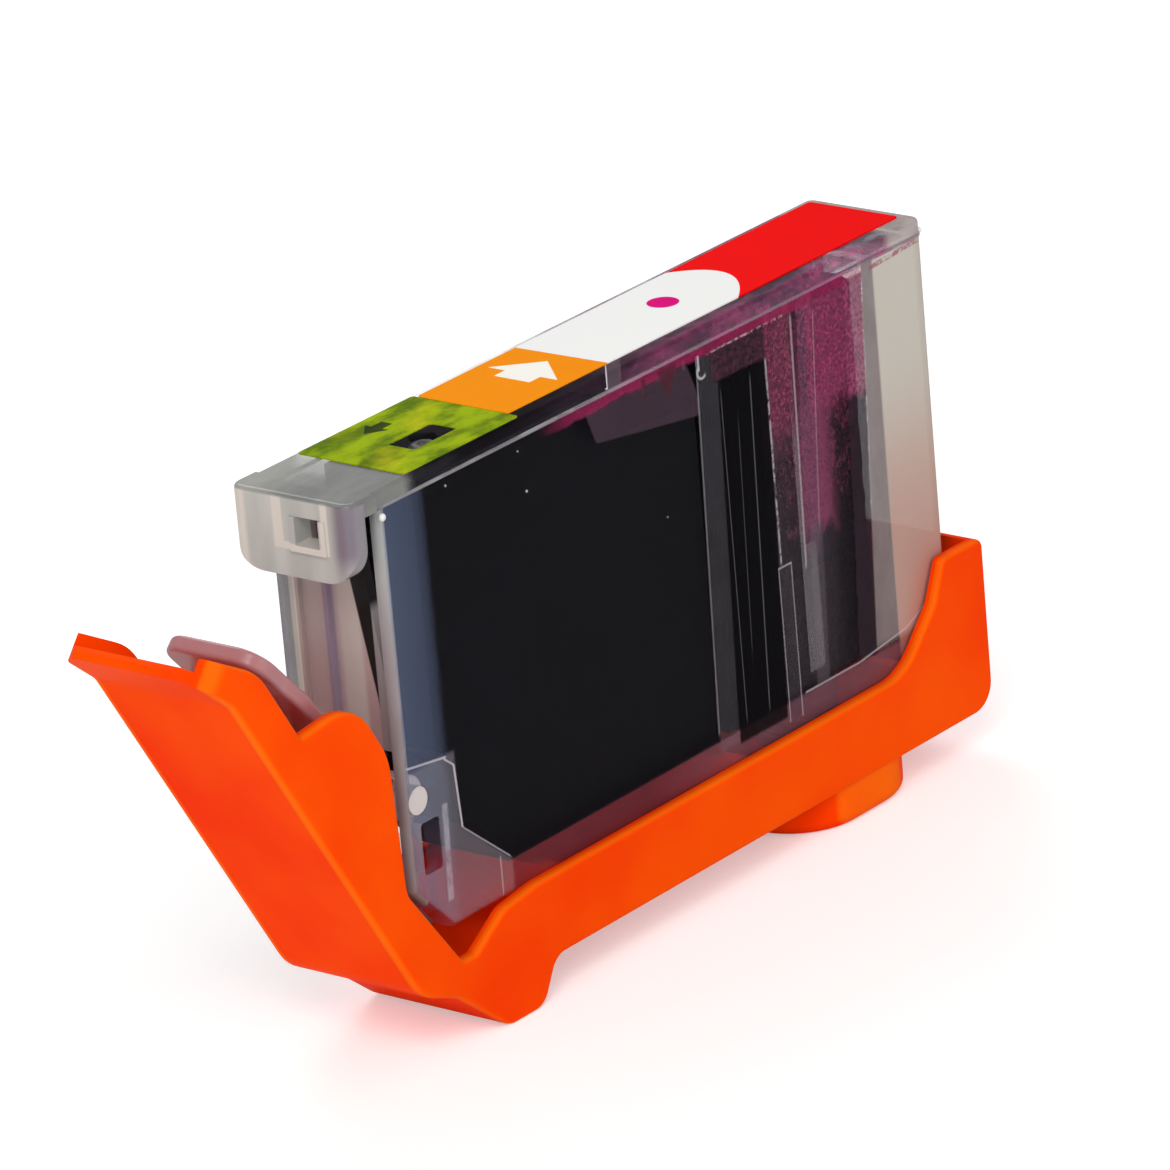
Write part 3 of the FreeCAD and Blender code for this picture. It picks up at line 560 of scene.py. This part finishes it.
def frostedLid():
    s = lidSettings
    f = Finish("lidPlastic")
    u, v, w = f.along, f.across, f.height
    hood = (1 - u.rise(*s["hoodRear"])) * (1 - w.rise(*s["top"]))
    front = (1 - u.rise(*s["frontRear"])) * (1 - hood)
    smear = f.cloud(3.0, 5.0, 0.6, f.stretch((0.4, 1.0, 1.0)))
    fleck = f.cloud(0.7, 5.0, 0.65)
    streak = f.cloud(2.2, 1.5, 0.5, f.stretch((1.0, 1.0, 0.25)))
    wine = u.rise(18, 42) * smear.rise(0.3, 0.6)
    rear = u.rise(68.5, 70)
    haze = 0.06 + 0.76 * front + 0.86 * hood + 0.4 * wine + 0.3 * u.rise(30, 60) + 0.2 * rear
    haze = (haze + 0.4 * f.facing() ** 6).least(s["mostCover"])
    colour = f.mix(wine, s["clear"], f.mix(fleck.rise(0.32, 0.7), *s["wine"]))
    colour = f.mix(rear, colour, s["rear"])
    # painted shade over the hollow front end, lighter towards the far side
    colour = f.mix(front, colour, f.mix(smear * 1.3 - 0.2 + v.rise(1.0, 7.0) * 0.8, *s["front"]))
    # painted shade along the hood's near side, deeper higher up
    dusk = v.band(-6.6, -4.5, 0.6) * (0.35 + 0.65 * w.rise(43.6, 46.0))
    skin = f.mix(dusk, f.mix(streak.rise(0.3, 0.7), *s["hood"]), s["dusk"])
    # painted highlights on the window outline, the far edge and, at 0.7, the near edge
    skin = f.mix(hoodRimHighlights(v, w).most((1 - v.rise(-7.1, -6.9)) * 0.7), skin, s["rim"])
    colour = f.mix(hood, colour, skin)
    return f.surface(Base_Color=colour, Roughness=0.22 + 0.12 * hood, IOR=1.49, Alpha=haze,
                     Normal=f.bump(f.cloud(1.6, 3.0), 0.25, 0.08))


leverSettings = {
    "arm": ((190, 118, 124), (184, 130, 132)),
    # the barrel: pale plastic with a painted highlight
    "barrel": (226, 218, 216),
    "pivot": (1.6, 22.6),
    "barrelEdge": (1.7, 2.1),
    "mostCover": 0.97,
}


def leverPlastic():
    s = leverSettings
    f = Finish("leverPlastic")
    along, height = s["pivot"]
    colour = f.mix(f.cloud(5, 3.0), *s["arm"])
    # the barrel round the pivot, painted whitish: pale plastic and a painted highlight
    barrel = 1 - apart(f.along - along, f.height - height).rise(*s["barrelEdge"])
    colour = f.mix(barrel, colour, s["barrel"])
    haze = 0.74 + 0.1 * f.cloud(2.5, 3.0) + 0.3 * f.facing() ** 4
    return f.surface(Base_Color=colour, Roughness=0.24, IOR=1.49, Alpha=haze.least(s["mostCover"]),
                     Normal=f.bump(f.cloud(1.4, 3.0), 0.2, 0.08))


inkSettings = {"liquid": ((10, 10, 13), (15, 14, 19)), "sheen": 0.03}


def inkLiquid():
    s = inkSettings
    f = Finish("inkLiquid")
    return f.surface(Base_Color=f.mix(f.cloud(9, 3.0), *s["liquid"]), Roughness=0.35, IOR=1.34,
                     Specular_IOR_Level=s["sheen"], Normal=f.bump(f.cloud(3, 2.0), 0.1, 0.1))


soakSettings = {
    "rear": ((98, 32, 62), (152, 70, 106)),
    "front": ((84, 32, 54), (128, 80, 102)),
    "soaked": ((12, 10, 15), (46, 30, 44)),
    "baseTop": (27.6, 29.8),
}


def soakedFoam():
    s = soakSettings
    f = Finish("soakedFoam")
    u, w = f.along, f.height
    grain = f.cells(0.28)
    fibre = f.cloud(0.7, 6.0, 0.7)
    ragged = f.cloud(1.3, 6.0, 0.72, f.stretch((1.0, 1.0, 0.7)))
    torn = (ragged + 0.14 * (1 - w.rise(24, 34))).rise(0.4, 0.5)
    behind = u.rise(60.2, 62.6) * (1 - w.rise(34.5, 38.0)) * torn     # dark strips at the rear and the front
    before = (1 - u.rise(56.0, 57.0)) * (1 - w.rise(33, 38.5)) * ragged.rise(0.3, 0.48)
    base = 1 - (w + 5 * ragged).rise(*s["baseTop"])
    pale = f.mix(u.rise(55, 60), f.mix(fibre, *s["front"]), f.mix(fibre, *s["rear"]))
    colour = f.mix(behind.most(before).most(base), pale, f.mix(fibre, *s["soaked"]))
    return f.surface(Base_Color=colour, Roughness=0.9, Normal=f.bump(grain * 0.6 + fibre, 0.8, 0.25))


def printedArrow(f, s, spread):     # a flat arrow: its head is as wide as the spread, its shaft straight
    edge, end = s["edge"], s["arrowEnd"]
    off = abs(f.across - s["arrowMiddle"])
    head = f.along.band(*s["arrowHead"], end) * (1 - (off - spread).rise(-edge, edge))
    shaft = f.along.band(*s["arrowShaft"], end) * (1 - off.past(s["arrowHalf"], edge))
    return head.most(shaft)


labelSettings = {
    "white": (250, 250, 248),
    "red": ((244, 0, 2), (255, 4, 4)),
    "redFront": 55.0,     # at the middle of its bowed edge
    "redBow": 0.15,
    "redMiddle": 1.2,
    "orange": ((252, 144, 0), (255, 156, 4)),
    "orangeRear": 32.2,
    "orangeSkew": 0.03,
    "dot": (226, 0, 128),
    "dotPlace": (46.5, 0.7),
    "dotRadius": 1.4,
    "arrow": (255, 253, 244),
    "arrowMiddle": 0.5,
    "arrowTip": 30.5,
    "arrowSlope": 1.1,
    "arrowHead": (27.15, 31.0),
    "arrowShaft": (25.7, 27.2),
    "arrowHalf": 1.87,
    "arrowEnd": 0.03,
    "edge": 0.05,
    "sheen": 0.01,
}


def printedLabel():
    s = labelSettings
    f = Finish("labelPrint")
    u, v, edge = f.along, f.across, s["edge"]
    bow = s["redFront"] - s["redBow"] * (v - s["redMiddle"]) ** 2
    red = (u - bow).rise(-edge, edge)
    orange = 1 - (u + s["orangeSkew"] * v).past(s["orangeRear"], edge)
    along, across = s["dotPlace"]
    dot = 1 - apart(u - along, v - across).past(s["dotRadius"], edge)
    arrow = printedArrow(f, s, (s["arrowTip"] - u) * s["arrowSlope"])
    worn = f.cloud(7, 4.0)
    colour = f.mix(red, s["white"], f.mix(worn, *s["red"]))
    colour = f.mix(orange, colour, f.mix(worn, *s["orange"]))
    colour = f.mix(dot, colour, s["dot"])
    colour = f.mix(arrow * orange, colour, s["arrow"])
    return f.surface(Base_Color=colour, Roughness=0.34 + 0.1 * worn, Specular_IOR_Level=s["sheen"],
                     Normal=f.bump(f.cloud(2.5, 3.0), 0.12, 0.05))


filmSettings = {
    "green": ((90, 118, 2), (158, 182, 4)),
    "yellow": (214, 206, 20),
    "arrow": (34, 44, 16),
    "arrowMiddle": 3.4,
    "arrowTip": 9.9,
    "arrowSlope": 0.75,
    "arrowHead": (9.9, 11.6),
    "arrowShaft": (11.5, 12.9),
    "arrowHalf": 0.6,
    "arrowEnd": 0.03,
    "edge": 0.06,
    "sheen": 0.01,
}


def ventFilm():
    s = filmSettings
    f = Finish("ventFilm")
    streak = f.cloud(2.6, 5.0, 0.62, f.stretch((0.5, 1.0, 1.0)))
    patch = f.cloud(5.0, 3.0)
    arrow = printedArrow(f, s, (f.along - s["arrowTip"]) * s["arrowSlope"])
    colour = f.mix(streak.rise(0.35, 0.65), *s["green"])
    colour = f.mix(patch.rise(0.5, 0.75) * 0.5, colour, s["yellow"])
    colour = f.mix(arrow * 0.9, colour, s["arrow"])
    return f.surface(Base_Color=colour, Roughness=0.32, Specular_IOR_Level=s["sheen"],
                     Normal=f.bump(streak + patch, 0.35, 0.12))


boardSettings = {
    "mask": ((52, 12, 14), (84, 24, 20)),
    "traces": {"Scale": 260.0, "Distortion": 3.0, "Detail": 1.0},
}


def boardMask():
    s = boardSettings
    f = Finish("boardMask")
    trace = f.node("ShaderNodeTexWave", {"bands_direction": "Y"}, {"Vector": f.place, **s["traces"]}, "Fac")
    return f.surface(Base_Color=f.mix(trace.rise(0.55, 0.65), *s["mask"]), Roughness=0.35, Coat_Weight=0.5,
                     Coat_Roughness=0.2, Normal=f.bump(trace, 0.2, 0.03))


def plain(name, colours, lump, rough, metal=0.0, depth=0.05, strength=0.3):     # one plastic, metal or felt
    f = Finish(name)
    grain = f.cloud(lump, 5.0, 0.6)
    return f.surface(Base_Color=f.mix(grain.rise(0.3, 0.7), *colours), Roughness=rough + 0.12 * grain,
                     Metallic=metal, Normal=f.bump(grain, strength, depth))


plainSettings = {
    "chip_contacts": {"name": "contactGold", "colours": ((212, 160, 60), (240, 198, 96)), "lump": 0.6,
                      "rough": 0.2, "metal": 1.0, "depth": 0.02},
    "chip_cover": {"name": "chipEpoxy", "colours": ((14, 14, 16), (28, 27, 30)), "lump": 0.5,
                   "rough": 0.35, "depth": 0.04},
    "chip_led": {"name": "ledLens", "colours": ((226, 220, 200), (244, 238, 222)), "lump": 0.8,
                 "rough": 0.12},
    "outlet_mesh": {"name": "steelScreen", "colours": ((120, 120, 124), (172, 172, 178)), "lump": 0.4,
                    "rough": 0.3, "metal": 1.0, "depth": 0.03},
    "outlet_wick": {"name": "wickFelt", "colours": ((24, 8, 18), (84, 26, 60)), "lump": 0.25,
                    "rough": 0.85, "depth": 0.15, "strength": 0.7},
    "outlet_seal": {"name": "sealRubber", "colours": ((60, 60, 64), (84, 84, 88)), "lump": 1.2,
                    "rough": 0.5},
    "fill_plug": {"name": "plugPlastic", "colours": ((48, 44, 48), (104, 96, 98)), "lump": 0.7,
                  "rough": 0.3},
    "vent_membrane": {"name": "ventMembrane", "colours": ((206, 204, 200), (232, 230, 226)), "lump": 0.15,
                      "rough": 0.8, "strength": 0.6},
}


def dressNodes():     # every CAD node but the two absorbers, which the foam blocks stand for
    finishes = {"shipping_cap": orangeCap, "tank_body": clearTank, "top_lid": frostedLid,
                "latch_lever": leverPlastic, "ink": inkLiquid, "label": printedLabel,
                "vent_film": ventFilm, "chip_board": boardMask}
    dressed = {name: finish() for name, finish in finishes.items()}
    dressed.update({name: plain(**s) for name, s in plainSettings.items()})
    for name, material in dressed.items():
        slots = nodes[name].data.materials
        slots.clear()
        slots.append(material)


dressNodes()
print("frame nodes dressed")


# Pieces

def finishPiece(name, shape, material, body, smooth=True):
    bmesh.ops.recalc_face_normals(shape, faces=shape.faces)
    mesh = bpy.data.meshes.new(name)
    shape.to_mesh(mesh)
    shape.free()
    mesh.materials.append(material)
    for face in mesh.polygons:
        face.use_smooth = smooth
    piece = bpy.data.objects.new(name, mesh)
    bpy.context.scene.collection.objects.link(piece)
    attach(piece, body)
    return piece


def boxShape(low, high):
    shape = bmesh.new()
    bmesh.ops.create_cube(shape, size=1.0)
    size = Vector(high) - Vector(low)
    bmesh.ops.scale(shape, vec=size, verts=shape.verts)
    bmesh.ops.translate(shape, vec=(Vector(low) + Vector(high)) / 2, verts=shape.verts)
    return shape


def climb(edge):     # how far an edge goes up
    return abs(edge.verts[0].co.z - edge.verts[1].co.z)


def roundEdges(shape, edges, radius, segments):
    bmesh.ops.bevel(shape, geom=edges, offset=radius * mm, affect="EDGES", segments=segments, profile=0.5,
                    material=-1)


foamSettings = {
    "inset": 0.12,
    "overlap": 0.02,     # the two blocks reach into one another where they meet
    "corner": 0.5,
    "shortest": 2,     # edges longer than this are cut
    "cuts": 34,
    "lump": 0.7,
    "depth": 0.16,
    "topReach": 1.2,
    "topLump": 2.2,
    "topDepth": 0.55,
}


def foamBlock(name, low, high, replaced, raggedTop):
    s = foamSettings
    gap = Vector((s["inset"] * mm,) * 3)
    meet = Vector((0, 0, (s["inset"] + s["overlap"]) * mm))
    topStart = high[2] - s["topReach"] * mm
    low, high = Vector(low) + gap, Vector(high) - gap
    if raggedTop:
        low -= meet
    else:
        high += meet
    shape = boxShape(low, high)
    roundEdges(shape, [e for e in shape.edges if climb(e) > mm], s["corner"], 2)
    lengthy = [e for e in shape.edges if e.calc_length() > s["shortest"] * mm]
    bmesh.ops.subdivide_edges(shape, edges=lengthy, cuts=s["cuts"], use_grid_fill=True)
    for vert in shape.verts:
        place = vert.co / (s["lump"] * mm)
        vert.co += vert.normal * noise.noise(place) * s["depth"] * mm
        if raggedTop and vert.co.z > topStart:
            vert.co.z -= abs(noise.noise(vert.co / (s["topLump"] * mm))) * s["topDepth"] * mm
    piece = finishPiece(name, shape, soakedFoam(), "tank")
    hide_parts(replaced)
    return piece


foamBlock("sponge_block", spongeLow, spongeHigh, "capillary_sponge", True)
foamBlock("felt_block", feltLow, feltHigh, "outlet_felt", False)
print("foam blocks made")


seamSettings = {
    "proud": 0.09,
    "height": 0.32,
    "depth": 0.35,
    "corner": 0.8,
    "lip": 0.09,
    "sharp": 1.0,     # the angle, in radians, past which an edge is rounded
    "clear": (150, 146, 152),
    "wine": (170, 92, 138),
}


def seamFinish():
    s = seamSettings
    f = Finish("seamPlastic")
    patch = f.cloud(2.0, 5.0, 0.6, f.stretch((0.4, 1.0, 1.0)))
    colour = f.mix(f.along.rise(24, 44) * patch.rise(0.35, 0.6), s["clear"], s["wine"])
    haze = 0.4 + 0.4 * patch.rise(0.35, 0.65)
    return f.surface(Base_Color=colour, Roughness=0.2, Alpha=haze, Normal=f.bump(patch, 0.3, 0.05))


def weldSeam():     # the welded joint between tank and lid, a thin bead all round
    s = seamSettings
    reach = s["proud"] * mm
    low = (frontX - reach, tankLow[1] - reach, jointZ - s["height"] * mm / 2)
    high = (tankHigh[0] + reach, tankHigh[1] + reach, jointZ + s["height"] * mm / 2)
    shape = boxShape(low, high)
    rear = [e for e in shape.edges if climb(e) > 0.1 * mm and e.verts[0].co.x > 0]
    roundEdges(shape, rear, s["corner"], 6)
    caps = [face for face in shape.faces if abs(face.normal.z) > 0.9]
    bmesh.ops.inset_individual(shape, faces=caps, thickness=s["depth"] * mm)
    bmesh.ops.delete(shape, geom=caps, context="FACES")
    bmesh.ops.bridge_loops(shape, edges=[e for e in shape.edges if e.is_boundary])
    rims = [e for e in shape.edges if climb(e) < 0.01 * mm and e.calc_face_angle(0) > s["sharp"]]
    roundEdges(shape, rims, s["lip"], 2)
    return finishPiece("weld_seam", shape, seamFinish(), "tank")


weldSeam()

# Moulding nibs, each with its middle and its half sizes. They are whitish, and the gate nib's white stands
# in for a painted glint
nibSettings = {
    "gate_nib_glint": {"place": (0.45, -5.95, 47.6), "size": (0.35, 0.3, 0.35)},
    "flash_nib": {"place": (74.35, -5.4, 48.7), "size": (0.3, 0.5, 0.28)},
}
nibMesh = {"around": 20, "rings": 12}


def roundNib(name, place, size, material, body):
    shape = bmesh.new()
    bmesh.ops.create_uvsphere(shape, u_segments=nibMesh["around"], v_segments=nibMesh["rings"], radius=1.0)
    bmesh.ops.scale(shape, vec=Vector(size) * mm, verts=shape.verts)
    bmesh.ops.translate(shape, vec=atTank(*place), verts=shape.verts)
    return finishPiece(name, shape, material, body)


# whitish plastic, which on the gate nib is a painted glint
nibPlasticAndGlint = plain("nibPlasticAndGlint", ((220, 218, 216), (246, 245, 243)), 0.6, 0.12)
for name, s in nibSettings.items():
    roundNib(name, s["place"], s["size"], nibPlasticAndGlint, "tank")

# Ink film on the far wall of the air pocket, drops in the pocket and small bubbles on the near wall
pocketSettings = {
    "film": {"low": (28.4, 4.88, 42.9), "high": (43.2, 4.96, 48.42)},
    "filmInk": ((52, 48, 58), (120, 34, 78)),
    "drops": [((36.0, -4.87, 46.6), (0.22, 0.1, 0.55)), ((39.4, -4.87, 46.1), (0.3, 0.1, 0.6)),
              ((33.2, -4.87, 47.2), (0.2, 0.08, 0.4)), ((41.6, -4.87, 46.9), (0.2, 0.08, 0.5))],
    "dropInk": ((60, 8, 34), (104, 20, 62)),
    "bubbles": [((18.6, -6.02, 43.7), 0.12), ((8.5, -6.02, 47.6), 0.1), ((17.9, -6.02, 47.4), 0.08),
                ((36.5, -6.02, 35.3), 0.07)],
    "bubbleSkin": ((170, 172, 180), (214, 216, 222)),
    "bubbleFlat": 0.5,
}


def inkFilm():
    f = Finish("inkFilm")
    patch = f.cloud(2.4, 6.0, 0.65, f.stretch((0.8, 1.0, 0.5)))
    wet = patch * 0.7 + f.height.rise(45.2, 48.2) * 0.6
    return f.surface(Base_Color=f.mix(wet.rise(0.45, 0.9), *pocketSettings["filmInk"]), Roughness=0.25,
                     Normal=f.bump(patch, 0.3, 0.1))


def fillPocket():
    s = pocketSettings
    film = boxShape(atTank(*s["film"]["low"]), atTank(*s["film"]["high"]))
    finishPiece("ink_film", film, inkFilm(), "tank", False)
    dropInk = plain("dropInk", s["dropInk"], 0.7, 0.12)
    for index, (place, size) in enumerate(s["drops"]):
        roundNib("ink_drop_" + str(index + 1), place, size, dropInk, "tank")
    bubbleSkin = plain("bubbleSkin", s["bubbleSkin"], 0.3, 0.1)
    for index, (place, radius) in enumerate(s["bubbles"]):
        size = (radius, radius * s["bubbleFlat"], radius)
        roundNib("air_bubble_" + str(index + 1), place, size, bubbleSkin, "tank")


fillPocket()
print("small pieces made")


# Floor, world and lamps

floorSettings = {"half": 4.0, "paper": 0.85, "roughness": 0.9, "lift": 0.36}


def floorPaper():     # matt paper, lifted towards white where the camera sees it
    s = floorSettings
    f = Finish("floorPaper")
    matt = {"Base Color": (s["paper"], s["paper"], s["paper"], 1.0), "Roughness": s["roughness"],
            "Specular IOR Level": 0.0}
    paper = f.node("ShaderNodeBsdfPrincipled", {}, matt)
    glow = f.node("ShaderNodeEmission", {}, {"Strength": f.seenDirectly() * s["lift"]})
    f.close("ShaderNodeOutputMaterial", f.node("ShaderNodeAddShader", {}, {0: paper, 1: glow}))
    return f.material


def stageFloor():
    shape = bmesh.new()
    bmesh.ops.create_grid(shape, x_segments=1, y_segments=1, size=floorSettings["half"])
    mesh = bpy.data.meshes.new("floor")
    shape.to_mesh(mesh)
    shape.free()
    mesh.materials.append(floorPaper())
    floor = bpy.data.objects.new("floor", mesh)
    bpy.context.scene.collection.objects.link(floor)


worldSettings = {"soft": 0.4, "white": 1.0}     # how bright it lights, and how bright it looks


def stageWorld():
    s = worldSettings
    world = bpy.data.worlds.new("studio")
    bpy.context.scene.world = world
    world.use_nodes = True
    sky = Shading(world.node_tree)
    level = sky.node("ShaderNodeMapRange", {},
                     {"Value": sky.seenDirectly(), "To Min": s["soft"], "To Max": s["white"]}, "Result")
    white = sky.node("ShaderNodeBackground", {}, {"Color": (1.0, 1.0, 1.0, 1.0), "Strength": level})
    sky.close("ShaderNodeOutputWorld", white)


lampAim = (0, 0, 0.025)
lampSettings = {
    "key": {"place": (-0.42, -0.30, 0.50), "size": 0.30, "power": 1.9, "colour": (1.0, 0.98, 0.95)},
    "side": {"place": (0.15, -0.60, 0.30), "size": 0.45, "power": 1.0, "colour": (1.0, 1.0, 1.0)},
    "back": {"place": (0.30, 0.45, 0.55), "size": 0.40, "power": 1.5, "colour": (0.95, 0.97, 1.0)},
    "low": {"place": (-0.62, -0.16, 0.09), "size": 0.40, "power": 1.5, "colour": (1.0, 0.98, 0.96)},
}


def stageLamps():
    for name, s in lampSettings.items():
        data = bpy.data.lights.new(name, "AREA")
        data.size = s["size"]
        data.energy = s["power"]
        data.color = s["colour"]
        lamp = bpy.data.objects.new(name, data)
        bpy.context.scene.collection.objects.link(lamp)
        lamp.matrix_world = turnTo(s["place"], lampAim)


stageFloor()
stageWorld()
stageLamps()
bpy.context.scene.view_settings.view_transform = "Standard"
print("stage lit")
